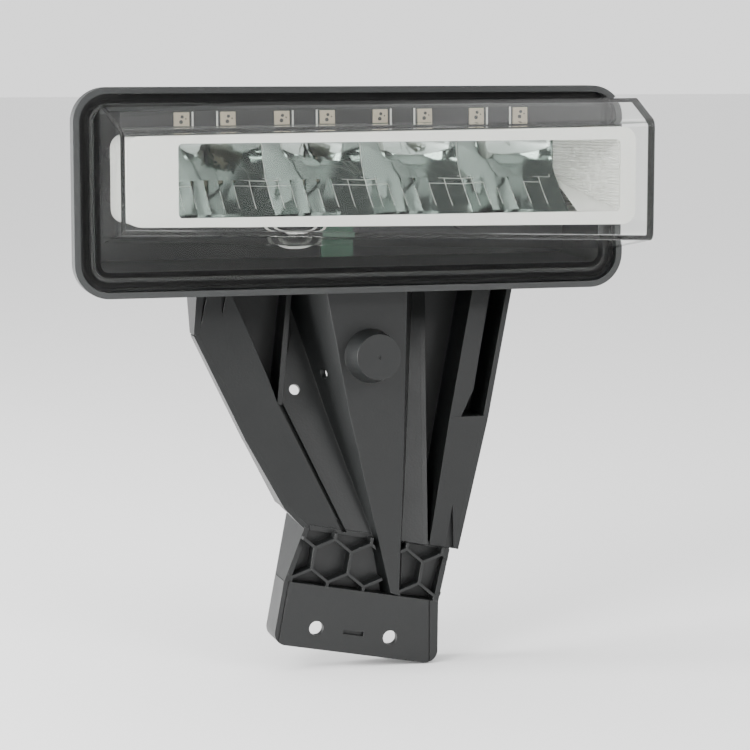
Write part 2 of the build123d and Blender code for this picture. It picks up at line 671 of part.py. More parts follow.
def brow(x):
    """Level of the bezel's upper edge at x."""
    return BEZEL_TOP + x * tan(radians(BROW_TILT))


BEZEL_OUTLINE = [
    (BEZEL_LEFT, BEZEL_LOW_LEFT), (BEZEL_RIGHT, BEZEL_LOW_RIGHT), (BEZEL_RIGHT, brow(BEZEL_RIGHT)),
    (BEZEL_LEFT, brow(BEZEL_LEFT)),
]
wing_run = hypot(WING_RIGHT - WING_LEFT, WING_FRONT - WING_START)
wing_way = ((WING_RIGHT - WING_LEFT) / wing_run, -(WING_FRONT - WING_START) / wing_run, 0)

with BuildPart() as bezel:
    with BuildSketch(lamp_plane(BEZEL_FRONT)) as bezel_face:
        with BuildLine():
            Polyline(*BEZEL_OUTLINE, close=True)
        make_face()
        fillet(bezel_face.vertices(), BEZEL_CORNER)
    extrude(amount=-(BEZEL_FRONT - BEZEL_BACK))
    with BuildSketch(lamp_plane(BEZEL_FRONT - 2.5 * BEZEL_WALL / 2)) as bezel_hollow:
        with BuildLine():
            Polyline(*BEZEL_OUTLINE, close=True)
        make_face()
        fillet(bezel_hollow.vertices(), BEZEL_CORNER)
        offset(amount=-BEZEL_WALL)
    extrude(amount=-BEZEL_FRONT, mode=Mode.SUBTRACT)
    with BuildSketch(lamp_plane(BEZEL_FRONT)) as window:
        with Locations(((WING_RIGHT - ROW_HALF) / 2, (LED_LEVEL + BOWL_FLOOR) / 2)):
            RectangleRounded(WING_RIGHT + ROW_HALF, LED_LEVEL - BOWL_FLOOR, 2.0)
    extrude(amount=-2.5 * BEZEL_WALL, mode=Mode.SUBTRACT)
    with BuildSketch(level_plane(LED_LEVEL + BEZEL_WALL)):
        with BuildLine():
            Polyline((WING_LEFT, WING_START), (WING_RIGHT, WING_FRONT), (WING_RIGHT + WING_THICK, WING_FRONT),
                     (WING_LEFT + WING_THICK, WING_START), close=True)
        make_face()
    extrude(amount=LED_LEVEL - BOWL_FLOOR + 2 * BEZEL_WALL)
    with BuildSketch(Plane(origin=(WING_LEFT, LAMP_Y - WING_START, LAMP_HEIGHT + (LED_LEVEL + BOWL_FLOOR) / 2),
                           x_dir=(0, 0, 1), z_dir=wing_way)):
        with GridLocations((LED_LEVEL - BOWL_FLOOR) / FLUTES, 0, FLUTES, 1):
            Circle(FLUTE_R)
    extrude(amount=wing_run - BEZEL_WALL, mode=Mode.SUBTRACT)
    # Legs that stand on the reflector's ears
    for x, top in ((-EAR_X - 2, BEZEL_FRONT - BEZEL_WALL), (EAR_X + 2, BOWL_FRONT - 10)):
        with BuildSketch(lamp_plane(EAR_BACK + EAR_THICK)):
            with Locations((x, LEG_LEVEL)):
                Rectangle(*LEG)
        extrude(amount=top - EAR_BACK - EAR_THICK)
bezel.part.label = "bezel"
export_step(bezel.part, "parts/bezel.step")

# Board with the four main light sources, over the bowls
BOARD_LEVEL = LED_LEVEL + BOWL_WALL
with BuildPart() as led_board:
    with BuildSketch(level_plane(BOARD_LEVEL)):
        with Locations((0, (LED_BOARD_FRONT + LED_BOARD_BACK) / 2)):
            Rectangle(2 * ROW_HALF - 2, LED_BOARD_FRONT - LED_BOARD_BACK)
    extrude(amount=-BOARD)
led_board.part.label = "led_board"
export_step(led_board.part, "parts/led_board.step")

with BuildPart() as main_leds:
    with BuildSketch(level_plane(BOARD_LEVEL)):
        with Locations(*[(x, FOCUS) for x in CELL_X]):
            Rectangle(MAIN_LED[0], MAIN_LED[1])
    extrude(amount=MAIN_LED[2])
main_leds.part.label = "main_leds"
export_step(main_leds.part, "parts/main_leds.step")

# Heat sink: plate over the board, a back plate and fins
SINK_LEVEL = BOARD_LEVEL + BOARD
SINK_TOP = SINK_LEVEL + SINK_PLATE
FIN_PITCH = 9.0
FIN_REACH = 5.0
with BuildPart() as heat_sink:
    with BuildSketch(level_plane(SINK_LEVEL)):
        with Locations((0, (SINK_FRONT + SINK_BACK) / 2)):
            Rectangle(2 * ROW_HALF, SINK_FRONT - SINK_BACK)
    extrude(amount=-SINK_PLATE)
    with BuildSketch(lamp_plane(SINK_BACK)):
        with Locations((0, (SINK_DROP + SINK_TOP) / 2)):
            Rectangle(2 * ROW_HALF, SINK_TOP - SINK_DROP)
    extrude(amount=SINK_PLATE)
    with BuildSketch(lamp_plane(SINK_BACK)):
        with Locations((0, (SINK_DROP + SINK_TOP) / 2)):
            with GridLocations(FIN_PITCH, 0, FINS, 1):
                Rectangle(SINK_PLATE / 2, SINK_TOP - SINK_DROP)
    extrude(amount=-FIN_REACH)
    with BuildSketch(lamp_plane(SINK_BACK)):
        with Locations(*SINK_POSTS):
            Circle(SCREW_R + GAP)
    extrude(amount=SINK_PLATE, mode=Mode.SUBTRACT)
heat_sink.part.label = "heat_sink"
export_step(heat_sink.part, "parts/heat_sink.step")

# Running-light strip: board, eight light sources in pairs, and the dark trim round them
STRIP_LED_X = [x + STRIP_SHIFT + side * STRIP_PAIR / 2 for x in CELL_X for side in (-1, 1)]
STRIP_FRONT = SINK_FRONT + BOARD
STRIP_MID = ((STRIP_LEFT + STRIP_RIGHT) / 2, (STRIP_LOW + STRIP_HIGH) / 2)
with BuildPart() as running_board:
    with BuildSketch(brow_plane(SINK_FRONT)):
        with Locations(STRIP_MID):
            Rectangle(STRIP_RIGHT - STRIP_LEFT - 8, STRIP_HIGH - STRIP_LOW - GAP)
    extrude(amount=BOARD)
running_board.part.label = "running_light_board"
export_step(running_board.part, "parts/running_light_board.step")

with BuildPart() as running_leds:
    with BuildSketch(brow_plane(STRIP_FRONT)):
        with Locations(*[(x, STRIP_LED_LEVEL) for x in STRIP_LED_X]):
            Rectangle(STRIP_LED[0], STRIP_LED[1])
    extrude(amount=STRIP_LED[2])
running_leds.part.label = "running_light_leds"
export_step(running_leds.part, "parts/running_light_leds.step")

with BuildPart() as trim:
    with BuildSketch(brow_plane(STRIP_FRONT)):
        with Locations(STRIP_MID):
            Rectangle(STRIP_RIGHT - STRIP_LEFT, STRIP_HIGH - STRIP_LOW)
        with Locations(*[(x, STRIP_LED_LEVEL) for x in STRIP_LED_X]):
            Rectangle(STRIP_LED[0] + GAP, STRIP_LED[1] + GAP, mode=Mode.SUBTRACT)
    extrude(amount=TRIM)
    with BuildSketch(brow_plane(STRIP_FRONT)):
        with Locations((STRIP_MID[0], STRIP_LOW + TRIM / 2)):
            Rectangle(STRIP_RIGHT - STRIP_LEFT, TRIM)
    extrude(amount=TRIM_REACH - STRIP_FRONT)
trim.part.label = "running_light_trim"
export_step(trim.part, "parts/running_light_trim.step")

# Driver board with a tab below, its components, and two jumper wires that hang in loops
DRIVER_FRONT = DRIVER_BACK + BOARD
DRIVER_MID = (-26.0, -4.0)
DRIVER_SIZE = (64.0, 20.0)
DRIVER_TAB = (15.5, 19.0)
DRIVER_TAB_MID = (-5.5, -22.5)
HEADERS = [(-38.5, -10.0), (-14.0, -10.0)]
HEADER = (8.0, 5.0, 5.0)
WIRE_R = 0.7
WIRE_FORWARD = DRIVER_FRONT + 2.5
WIRES = [(-41.0, -11.5, -27.0), (-36.5, -16.0, -23.5)]
with BuildPart() as driver_board:
    with BuildSketch(lamp_plane(DRIVER_BACK)):
        with Locations(DRIVER_MID):
            Rectangle(*DRIVER_SIZE)
        with Locations(DRIVER_TAB_MID):
            Rectangle(*DRIVER_TAB)
        with Locations(*DRIVER_POSTS):
            Circle(SCREW_R + GAP, mode=Mode.SUBTRACT)
    extrude(amount=BOARD)
driver_board.part.label = "driver_board"
export_step(driver_board.part, "parts/driver_board.step")

with BuildPart() as components:
    with BuildSketch(lamp_plane(DRIVER_FRONT)):
        with Locations(*HEADERS):
            Rectangle(HEADER[0], HEADER[1])
    extrude(amount=HEADER[2])
    with BuildSketch(lamp_plane(DRIVER_FRONT)):
        with Locations((-30.0, 0.0)):
            RectangleRounded(10.0, 10.0, 2.0)
    extrude(amount=5.5)
    with BuildSketch(lamp_plane(DRIVER_FRONT)):
        with Locations((-19.0, 0.5), (-42.0, 1.0)):
            Circle(3.2)
    extrude(amount=6.0)
components.part.label = "driver_components"
export_step(components.part, "parts/driver_components.step")

with BuildPart() as wires:
    for left, right, low in WIRES:
        start = HEADERS[0][1] - HEADER[1] / 2
        with BuildLine(lamp_plane(WIRE_FORWARD)) as route:
            FilletPolyline((left, start), (left, low), (right, low), (right, start), radius=(right - left) * 0.45)
        with BuildSketch(Plane(origin=route.line @ 0, z_dir=route.line % 0)):
            Circle(WIRE_R)
        sweep(path=route.line)
wires.part.label = "jumper_wires"
export_step(wires.part, "parts/jumper_wires.step")

# Connector on the back: gasket, socket and three pins
GASKET = 1.5
SOCKET_FLANGE = 2.0
SOCKET_LENGTH = 16.5
SOCKET_WEB = 2.0
SOCKET_WALL = 2.0
PIN_R = 0.9
PIN_PITCH = 5.0
with BuildPart() as gasket:
    with BuildSketch(lamp_plane(-TUB_DEPTH)):
        with Locations(SOCKET_PLACE):
            RectangleRounded(SOCKET[0] + 2, SOCKET[1] + 2, 3.0)
            RectangleRounded(SOCKET_NECK[0] + 2 * GAP, SOCKET_NECK[1] + 2 * GAP, 2.0, mode=Mode.SUBTRACT)
    extrude(amount=-GASKET)
gasket.part.label = "connector_gasket"
export_step(gasket.part, "parts/connector_gasket.step")

with BuildPart() as socket:
    with BuildSketch(lamp_plane(BACK_INSIDE + 1.5)):
        with Locations(SOCKET_PLACE):
            RectangleRounded(*SOCKET_NECK, 2.0)
    extrude(amount=-(TUB_WALL + 1.5 + GASKET))
    with BuildSketch(lamp_plane(-TUB_DEPTH - GASKET)):
        with Locations(SOCKET_PLACE):
            RectangleRounded(SOCKET[0] + 4, SOCKET[1] + 4, 3.0)
    extrude(amount=-SOCKET_FLANGE)
    with BuildSketch(lamp_plane(-TUB_DEPTH - GASKET - SOCKET_FLANGE)):
        with Locations(SOCKET_PLACE):
            RectangleRounded(*SOCKET, 3.0)
            RectangleRounded(SOCKET[0] - 2 * SOCKET_WALL, SOCKET[1] - 2 * SOCKET_WALL, 1.5, mode=Mode.SUBTRACT)
    extrude(amount=-SOCKET_LENGTH)
    with BuildSketch(lamp_plane(0)):
        with Locations(SOCKET_PLACE):
            with GridLocations(PIN_PITCH, 0, 3, 1):
                Circle(PIN_R + SLIP)
    extrude(amount=-2 * TUB_DEPTH, mode=Mode.SUBTRACT)
socket.part.label = "connector_socket"
export_step(socket.part, "parts/connector_socket.step")

with BuildPart() as pins:
    with BuildSketch(lamp_plane(BACK_INSIDE + 4)):
        with Locations(SOCKET_PLACE):
            with GridLocations(PIN_PITCH, 0, 3, 1):
                Circle(PIN_R)
    extrude(amount=-(TUB_WALL + 4 + GASKET + SOCKET_FLANGE + SOCKET_LENGTH * 0.7))
pins.part.label = "terminal_pins"
export_step(pins.part, "parts/terminal_pins.step")

# Vent: mushroom cap on a stem through the back wall
with BuildPart() as vent:
    with BuildSketch(lamp_plane(BACK_INSIDE + 2)):
        with Locations(VENT_PLACE):
            Circle(VENT_R / 2)
    extrude(amount=-(TUB_WALL + 2))
    with BuildSketch(lamp_plane(-TUB_DEPTH)):
        with Locations(VENT_PLACE):
            Circle(VENT_R * 1.6)
    extrude(amount=-VENT_R)
    fillet(vent.edges().sort_by(Axis.Y)[-1], VENT_R / 3)
vent.part.label = "vent_cap"
export_step(vent.part, "parts/vent_cap.step")


def screws(places, seat, radius, head_r, head, length, way=1):
    """Adds screws whose heads sit on the plane at `seat`; way 1 points them back, -1 forward."""
    with BuildSketch(lamp_plane(seat)) as heads:
        with Locations(*places):
            Circle(head_r)
    extrude(heads.sketch, amount=way * head)
    with BuildSketch(lamp_plane(seat)) as shanks:
        with Locations(*places):
            Circle(radius - SLIP)
    extrude(shanks.sketch, amount=-way * length)


with BuildPart() as reflector_screws:
    screws(EAR_PLACES, EAR_BACK + EAR_THICK, SCREW_R, SCREW_HEAD_R, SCREW_HEAD, SCREW_LENGTH)
reflector_screws.part.label = "reflector_screws"
export_step(reflector_screws.part, "parts/reflector_screws.step")

with BuildPart() as sink_screws:
    screws(SINK_POSTS, SINK_BACK + SINK_PLATE, SCREW_R, SCREW_HEAD_R, SCREW_HEAD, SCREW_LENGTH)
sink_screws.part.label = "heat_sink_screws"
export_step(sink_screws.part, "parts/heat_sink_screws.step")

with BuildPart() as driver_screws:
    screws(DRIVER_POSTS, DRIVER_FRONT, SCREW_R, SCREW_HEAD_R, SCREW_HEAD, SCREW_LENGTH)
driver_screws.part.label = "driver_board_screws"
export_step(driver_screws.part, "parts/driver_board_screws.step")

with BuildPart() as bracket_screws:
    screws(BRACKET_SCREWS, -TUB_DEPTH - REAR_BOSS - PLATE_THICK, BRACKET_SCREW_R, BRACKET_HEAD_R,
           BRACKET_HEAD, SCREW_LENGTH + PLATE_THICK - 1, -1)
bracket_screws.part.label = "bracket_screws"
export_step(bracket_screws.part, "parts/bracket_screws.step")
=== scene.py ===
"""Looks for the auxiliary driving light: mended and added shapes, materials, studio light and the camera."""
import math

import bmesh
import bpy
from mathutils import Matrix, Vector


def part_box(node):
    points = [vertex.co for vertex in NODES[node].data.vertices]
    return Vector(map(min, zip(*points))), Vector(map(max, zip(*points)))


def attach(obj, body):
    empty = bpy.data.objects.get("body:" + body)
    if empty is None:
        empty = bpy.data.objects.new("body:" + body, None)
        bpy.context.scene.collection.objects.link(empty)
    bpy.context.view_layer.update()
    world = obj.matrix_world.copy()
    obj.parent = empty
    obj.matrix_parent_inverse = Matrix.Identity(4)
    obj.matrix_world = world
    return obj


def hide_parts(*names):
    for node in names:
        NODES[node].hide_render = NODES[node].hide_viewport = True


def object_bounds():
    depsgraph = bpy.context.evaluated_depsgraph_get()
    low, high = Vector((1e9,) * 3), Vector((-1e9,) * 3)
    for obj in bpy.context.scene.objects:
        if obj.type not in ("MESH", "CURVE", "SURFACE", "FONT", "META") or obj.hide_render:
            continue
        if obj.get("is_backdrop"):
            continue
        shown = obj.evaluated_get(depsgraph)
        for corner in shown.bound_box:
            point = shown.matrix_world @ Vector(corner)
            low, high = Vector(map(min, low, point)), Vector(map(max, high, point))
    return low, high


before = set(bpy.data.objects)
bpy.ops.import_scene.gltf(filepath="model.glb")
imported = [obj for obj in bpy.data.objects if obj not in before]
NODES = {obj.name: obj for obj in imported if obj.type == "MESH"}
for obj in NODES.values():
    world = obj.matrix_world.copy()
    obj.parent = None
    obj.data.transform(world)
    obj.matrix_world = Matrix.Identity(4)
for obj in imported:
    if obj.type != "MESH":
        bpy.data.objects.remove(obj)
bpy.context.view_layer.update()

# The photograph's camera: where it looks, from which side, how far away and through which lens
TARGET = Vector((0.00905, -0.006, 0.1246))
CAMERA_YAW = math.radians(15.5)
CAMERA_PITCH = math.radians(7.2)
CAMERA_DISTANCE = 1.20925
CAMERA_LENS = 123.5
CAMERA_SENSOR = 36.0

FLOOR_SIZE = 30.0
FLOOR_DROP = 0.0005

# Smallest angle of an edge that stays sharp, on most pieces and on the faceted bowls; shortest length that counts
SHARP_ANGLE = math.radians(28)
FACET_ANGLE = math.radians(9)
MERGE = 1e-6

# The lamp's own frame, in millimetres: right, forward of the flange and up from its middle
HOUSING_LOW, HOUSING_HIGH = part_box("housing")
LAMP_Y = HOUSING_LOW.y
LAMP_Z = (HOUSING_LOW.z + HOUSING_HIGH.z) / 2

# The bracket, in degrees and millimetres as in the CAD: its sloping foot, and faces that lean back above the neck
FOOT_ANGLE = math.radians(10.5)
BOLT_SPACING = 37.0
NECK_Z = 45.7
ARM_FRONT = 6.0
ARM_LEAN = math.radians(8)
SHEET_LEAN = math.radians(18)


def lamp(x, forward, up):
    """Row-frame point of a place in the lamp's frame."""
    return Vector((x / 1000, LAMP_Y - forward / 1000, LAMP_Z + up / 1000))


def row(x, y, z):
    """Row-frame point of a place given in millimetres."""
    return Vector((x, y, z)) / 1000


def foot(along, y, up):
    """Row-frame point of a place on the sloping foot."""
    c, s = math.cos(FOOT_ANGLE), math.sin(FOOT_ANGLE)
    return row(along * c + up * s, y, up * c - along * s)


def arm_y(z):
    """Y of the arms' faces at a height."""
    return ARM_FRONT + (z - NECK_Z) * math.tan(ARM_LEAN)


def sheet_y(z):
    """Y of the leaning sheet's face at a height."""
    return ARM_FRONT + (z - NECK_Z) * math.tan(SHEET_LEAN)


def add_block(bm, first, second):
    """Closed solid between two outlines with equally many points."""
    a = [bm.verts.new(p) for p in first]
    b = [bm.verts.new(p) for p in second]
    bm.faces.new(a)
    bm.faces.new(b[::-1])
    for i in range(len(a)):
        j = (i + 1) % len(a)
        bm.faces.new((a[j], a[i], b[i], b[j]))


def add_box(bm, place, low, high):
    """Box between two corners, in the frame that `place` turns into the row's."""
    corners = [(low[0], low[2]), (high[0], low[2]), (high[0], high[2]), (low[0], high[2])]
    add_block(bm, [place(x, low[1], z) for x, z in corners], [place(x, high[1], z) for x, z in corners])


def add_disc(bm, place, middle, radius, low, high, count=24):
    """Round bar along the frame's second axis."""
    ring = [(middle[0] + radius * math.cos(2 * math.pi * i / count),
             middle[1] + radius * math.sin(2 * math.pi * i / count)) for i in range(count)]
    add_block(bm, [place(x, low, z) for x, z in ring], [place(x, high, z) for x, z in ring])


def finished(name, bm):
    """Object made from a bmesh, with outward faces and sharp edges kept sharp."""
    bmesh.ops.recalc_face_normals(bm, faces=bm.faces)
    mesh = bpy.data.meshes.new(name)
    bm.to_mesh(mesh)
    bm.free()
    mesh.shade_smooth()
    mesh.set_sharp_from_angle(angle=SHARP_ANGLE)
    obj = bpy.data.objects.new(name, mesh)
    bpy.context.scene.collection.objects.link(obj)
    return obj


def show(obj, material):
    """Gives a new piece its material and lets it ride on the part."""
    obj.data.materials.clear()
    obj.data.materials.append(material)
    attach(obj, "root")


def carved(name, node, cutters, material, sharp=SHARP_ANGLE):
    """Copy of a CAD node with the cutters' solids taken out, shown in its place."""
    source = NODES[node].data
    plain = bpy.data.meshes.new(name + "_plain")
    plain.from_pydata([v.co for v in source.vertices], [], [tuple(f.vertices) for f in source.polygons])
    bm = bmesh.new()
    bm.from_mesh(plain)
    bmesh.ops.remove_doubles(bm, verts=bm.verts, dist=MERGE)
    piece = finished(name, bm)
    tool = finished(name + "_cutters", cutters)
    cut = piece.modifiers.new("carve", "BOOLEAN")
    cut.object = tool
    cut.operation = "DIFFERENCE"
    cut.solver = "EXACT"
    bpy.context.view_layer.objects.active = piece
    bpy.ops.object.modifier_apply(modifier=cut.name)
    bpy.data.objects.remove(tool)
    piece.data.shade_smooth()
    piece.data.set_sharp_from_angle(angle=sharp)
    show(piece, material)
    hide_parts(node)
    return piece


# Softened edges and moulded grain, in metres
EDGE_RADIUS = 0.0005
GRAIN_HEIGHT = 0.0002


def principled(name):
    """New material with its Principled shader."""
    material = bpy.data.materials.new(name)
    material.use_nodes = True
    return material, material.node_tree, material.node_tree.nodes["Principled BSDF"]


def add_node(tree, kind, **inputs):
    """New node with the given input values; underscores in names stand for spaces."""
    node = tree.nodes.new(kind)
    for name, value in inputs.items():
        node.inputs[name.replace("_", " ")].default_value = value
    return node


def object_noise(tree, scale, detail=2.0):
    """Noise that sits still on the object."""
    place = tree.nodes.new("ShaderNodeTexCoord")
    noise = add_node(tree, "ShaderNodeTexNoise", Scale=scale, Detail=detail)
    tree.links.new(place.outputs["Object"], noise.inputs["Vector"])
    return noise


def add_grain(tree, shader, scale, strength):
    """Fine moulded grain on the surface, and edges that catch the light."""
    noise = object_noise(tree, scale)
    bump = add_node(tree, "ShaderNodeBump", Strength=strength, Distance=GRAIN_HEIGHT)
    edge = add_node(tree, "ShaderNodeBevel", Radius=EDGE_RADIUS)
    tree.links.new(edge.outputs["Normal"], bump.inputs["Normal"])
    tree.links.new(noise.outputs["Fac"], bump.inputs["Height"])
    tree.links.new(bump.outputs["Normal"], shader.inputs["Normal"])


def vary_roughness(tree, shader, low, high, scale=60.0):
    """Roughness that drifts a little over the surface."""
    noise = object_noise(tree, scale)
    spread = add_node(tree, "ShaderNodeMapRange", To_Min=low, To_Max=high)
    tree.links.new(noise.outputs["Fac"], spread.inputs["Value"])
    tree.links.new(spread.outputs["Result"], shader.inputs["Roughness"])


def moulded(name, colour, rough, grain=0.25, grain_scale=900.0, spread=0.06):
    """Moulded plastic or rubber."""
    material, tree, shader = principled(name)
    shader.inputs["Base Color"].default_value = (*colour, 1)
    vary_roughness(tree, shader, rough - spread, rough + spread)
    if grain:
        add_grain(tree, shader, grain_scale, grain)
    return material


def metal(name, colour, rough, spread=0.03):
    """Bare, plated or vacuum-metallised surface."""
    material, tree, shader = principled(name)
    shader.inputs["Base Color"].default_value = (*colour, 1)
    shader.inputs["Metallic"].default_value = 1.0
    vary_roughness(tree, shader, max(rough - spread, 0.0), rough + spread)
    return material


def clear(name):
    """Clear moulded lens."""
    material, tree, shader = principled(name)
    shader.inputs["Base Color"].default_value = (0.97, 0.98, 0.97, 1)
    shader.inputs["Transmission Weight"].default_value = 0.992
    shader.inputs["IOR"].default_value = 1.07
    shader.inputs["Coat Weight"].default_value = 0.2
    shader.inputs["Coat IOR"].default_value = 1.4
    shader.inputs["Coat Roughness"].default_value = 0.02
    vary_roughness(tree, shader, 0.0, 0.012)
    return material


BRACKET = moulded("bracket_plastic", (0.006, 0.0068, 0.0068), 0.42)
HOUSING = moulded("housing_plastic", (0.028, 0.030, 0.030), 0.46)
SEAL = moulded("seal_rubber", (0.020, 0.020, 0.020), 0.7)
LENS = clear("lens_clear")
MIRROR = metal("reflector_mirror", (0.54, 0.58, 0.56), 0.06)
BEZEL = moulded("bezel_bright", (0.78, 0.78, 0.74), 0.3, grain=0.0)
INK = moulded("led_mark", (0.03, 0.03, 0.03), 0.5, grain=0.0)
BOARD = moulded("board_green", (0.012, 0.075, 0.036), 0.42, grain=0.0)
LED = moulded("led_cream", (0.55, 0.48, 0.36), 0.35, grain=0.0)
TRIM = moulded("trim_dark", (0.012, 0.012, 0.012), 0.5)
SINK = metal("heat_sink_metal", (0.60, 0.61, 0.62), 0.45)
COMPONENT = moulded("component_black", (0.02, 0.02, 0.022), 0.5)
WIRE = moulded("wire_white", (0.80, 0.80, 0.77), 0.4, grain=0.0)
SOCKET = moulded("socket_plastic", (0.018, 0.018, 0.018), 0.5)
PIN = metal("pin_metal", (0.72, 0.58, 0.30), 0.3)
SCREW = metal("screw_steel", (0.45, 0.45, 0.46), 0.35)

FINISH = {
    "bracket": BRACKET, "housing": HOUSING, "lens": LENS, "lens_seal": SEAL, "reflector": MIRROR, "bezel": BEZEL,
    "led_board": BOARD, "main_leds": LED, "heat_sink": SINK, "running_light_board": BOARD,
    "running_light_leds": LED, "running_light_trim": TRIM, "driver_board": BOARD, "driver_components": COMPONENT,
    "jumper_wires": WIRE, "connector_gasket": SEAL, "connector_socket": SOCKET, "terminal_pins": PIN,
    "vent_cap": SEAL, "reflector_screws": SCREW, "heat_sink_screws": SCREW, "driver_board_screws": SCREW,
    "bracket_screws": SCREW,
}
for name, node in NODES.items():
    node.data.materials.clear()
    node.data.materials.append(FINISH[name])


# Bracket. What is cut: outlines are (x, z) on the arms and the sheet, and (along, up) on the foot
PROUD = 1.0
BOLT_TUBE_R = 8.2
BOLT_TUBE_Y = (4.02, 18.6)
ARM_GROOVE = [(-30.6, 108.3), (-28.0, 108.3), (-1.6, 47.8), (-4.0, 48.2)]
ARM_GROOVE_PROUD = 1.5
ARM_GROOVE_DEPTH = 2.1
SIDE_WALL_X = (-75.0, -65.0)
SIDE_WALL_Z = (141.5, 160.0)
SIDE_WALL_CORNER = 143.0
SIDE_WALL_DEPTH = (8.0, 23.0)
SIDE_WALL_BACK = 58.0
RIB_END = [(39.1, 38.6), (39.1, 43.2), (43.5, 43.2), (43.5, 38.6)]
RIB_END_BACK = 4.6
RIDGE_SECTIONS = ((18.66, 22.66, 0.05, 18.0), (12.94, 24.15, 1.9, 44.5))
RIDGE_FLANK = (2.6, 7.0)
POINTED_SLOTS = (
    [(51.8, 58.3), (47.0, 37.6), (51.3, 36.9)],
    [(-58.4, 151.7), (-58.2, 163.5), (-55.4, 163.5)],
    [(-69.0, 146.0), (-66.6, 163.5), (-64.9, 163.5)],
)
POINTED_SLOT_DEPTH = 2.0
FOOT_GROOVE_DEPTH = 0.6
RIGHT_GROOVE = ((37.45, -20.0), (38.15, 14.2))
LEFT_GROOVE = ((-36.3, -12.0), (-35.6, 20.7))
DIMPLE_PLACE = (11.0, 133.0)
DIMPLE_R = 0.9
DIMPLE_Y = (-10.0, -6.2)
DIMPLE_SIDES = 16

# Bracket. What is filled
SLOT_FLOOR = ((-5.3, 1.8, -1.3), (5.3, 4.4, 1.3))
SHEET_CORNER = [(-27.2, 127.0), (-18.0, 127.0), (-18.0, 161.0), (-21.9, 161.0)]
SHEET_CORNER_DEPTH = (1.0, 2.4)
GUSSET = [((-48.0, 93.5), 9.5), ((-30.5, 61.0), 9.5), ((-30.5, 61.0), 20.0)]
GUSSET_HALF = (1.1, 0.6)
POCKETS_X = ((-58.0, -22.5), (48.0, 86.0))
POCKET_FLOOR_Y = (45.6, 47.8)
POCKET_FLOOR_Z = (166.5, 170.5)
POCKET_WALL = [(-31.0, 108.5), (-21.0, 141.0), (-22.0, 169.0)]
POCKET_WALL_LEFT = 2.6
POCKET_WALL_RIGHT = 0.3
POCKET_WALL_FRONT = 0.5
POCKET_WALL_BACK = 24.6
POCKET_WALL_DROP = 3.3


def before_ridge(left, right, face, z):
    """Section at a height of the space in front of the ridge's face and its left flank."""
    width, depth = RIDGE_FLANK
    corners = [(left - width, -PROUD), (right, -PROUD), (right, face), (left, face), (left - width, face + depth)]
    return [row(x, y, z) for x, y in corners]


def bracket_cuts():
    """What is taken from the bracket: bolt tubes, grooves and slots, and ribs and walls that stand too far out."""
    cut = bmesh.new()
    for side in (-1, 1):
        add_disc(cut, foot, (side * BOLT_SPACING / 2, 0), BOLT_TUBE_R, *BOLT_TUBE_Y)
    add_block(cut, [row(x, sheet_y(z) - ARM_GROOVE_PROUD, z) for x, z in ARM_GROOVE],
              [row(x, sheet_y(z) + ARM_GROOVE_DEPTH, z) for x, z in ARM_GROOVE])
    low, top = SIDE_WALL_Z
    wall = [(arm_y(SIDE_WALL_CORNER) + SIDE_WALL_DEPTH[0], low), (arm_y(top) + SIDE_WALL_DEPTH[1], top),
            (SIDE_WALL_BACK, top), (SIDE_WALL_BACK, low)]
    add_block(cut, *[[row(x, y, z) for y, z in wall] for x in SIDE_WALL_X])
    add_block(cut, *[[foot(u, y, w) for u, w in RIB_END] for y in (-PROUD, RIB_END_BACK)])
    add_block(cut, *[before_ridge(*section) for section in RIDGE_SECTIONS])
    for slot in POINTED_SLOTS:
        add_block(cut, *[[row(x, arm_y(z) + depth, z) for x, z in slot] for depth in (-PROUD, POINTED_SLOT_DEPTH)])
    for place, (low, high) in ((row, RIGHT_GROOVE), (foot, LEFT_GROOVE)):
        add_box(cut, place, (low[0], -PROUD, low[1]), (high[0], FOOT_GROOVE_DEPTH, high[1]))
    add_disc(cut, row, DIMPLE_PLACE, DIMPLE_R, *DIMPLE_Y, DIMPLE_SIDES)
    return cut


def bracket_fills():
    """What is added to the bracket: the foot slot's floor, the sheet's corner, a gusset and the pockets' ends."""
    fill = bmesh.new()
    add_box(fill, foot, *SLOT_FLOOR)
    add_block(fill, *[[row(x, sheet_y(z) + depth, z) for x, z in SHEET_CORNER] for depth in SHEET_CORNER_DEPTH])
    add_block(fill, *[[row(x + side * GUSSET_HALF[0], arm_y(z) + depth, z + side * GUSSET_HALF[1])
                       for (x, z), depth in GUSSET] for side in (-1, 1)])
    for left, right in POCKETS_X:
        add_box(fill, row, (left, POCKET_FLOOR_Y[0], POCKET_FLOOR_Z[0]), (right, POCKET_FLOOR_Y[1], POCKET_FLOOR_Z[1]))
    for (x0, z0), (x1, z1) in zip(POCKET_WALL, POCKET_WALL[1:]):
        web = [(x0, sheet_y(z0) + POCKET_WALL_FRONT, z0), (x1, sheet_y(z1) + POCKET_WALL_FRONT, z1),
               (x1, arm_y(z1) + POCKET_WALL_BACK, z1 - POCKET_WALL_DROP),
               (x0, arm_y(z0) + POCKET_WALL_BACK, z0 - POCKET_WALL_DROP)]
        add_block(fill, [row(x - POCKET_WALL_LEFT, y, z) for x, y, z in web],
                  [row(x + POCKET_WALL_RIGHT, y, z) for x, y, z in web])
    return fill


def bracket():
    """Bracket with its cuts, and the piece that fills it."""
    carved("bracket_body", "bracket", bracket_cuts(), BRACKET)
    show(finished("bracket_fillings", bracket_fills()), BRACKET)


# Fluted wing at the outboard end, from the last bowl's edge to the frame, and the ramp below it
WING_START = (93.0, 10.5)
WING_END = (113.3, 44.4)
WING_LOW, WING_HIGH = -8.7, 23.9
WING_THICK = 0.8
FLUTES = 24
FLUTE_STEPS = 8
FLUTE_DEPTH = 0.55
RAMP_TOP = 5.2
RAMP_THICK = 0.15
RAMP_INSET = 0.2

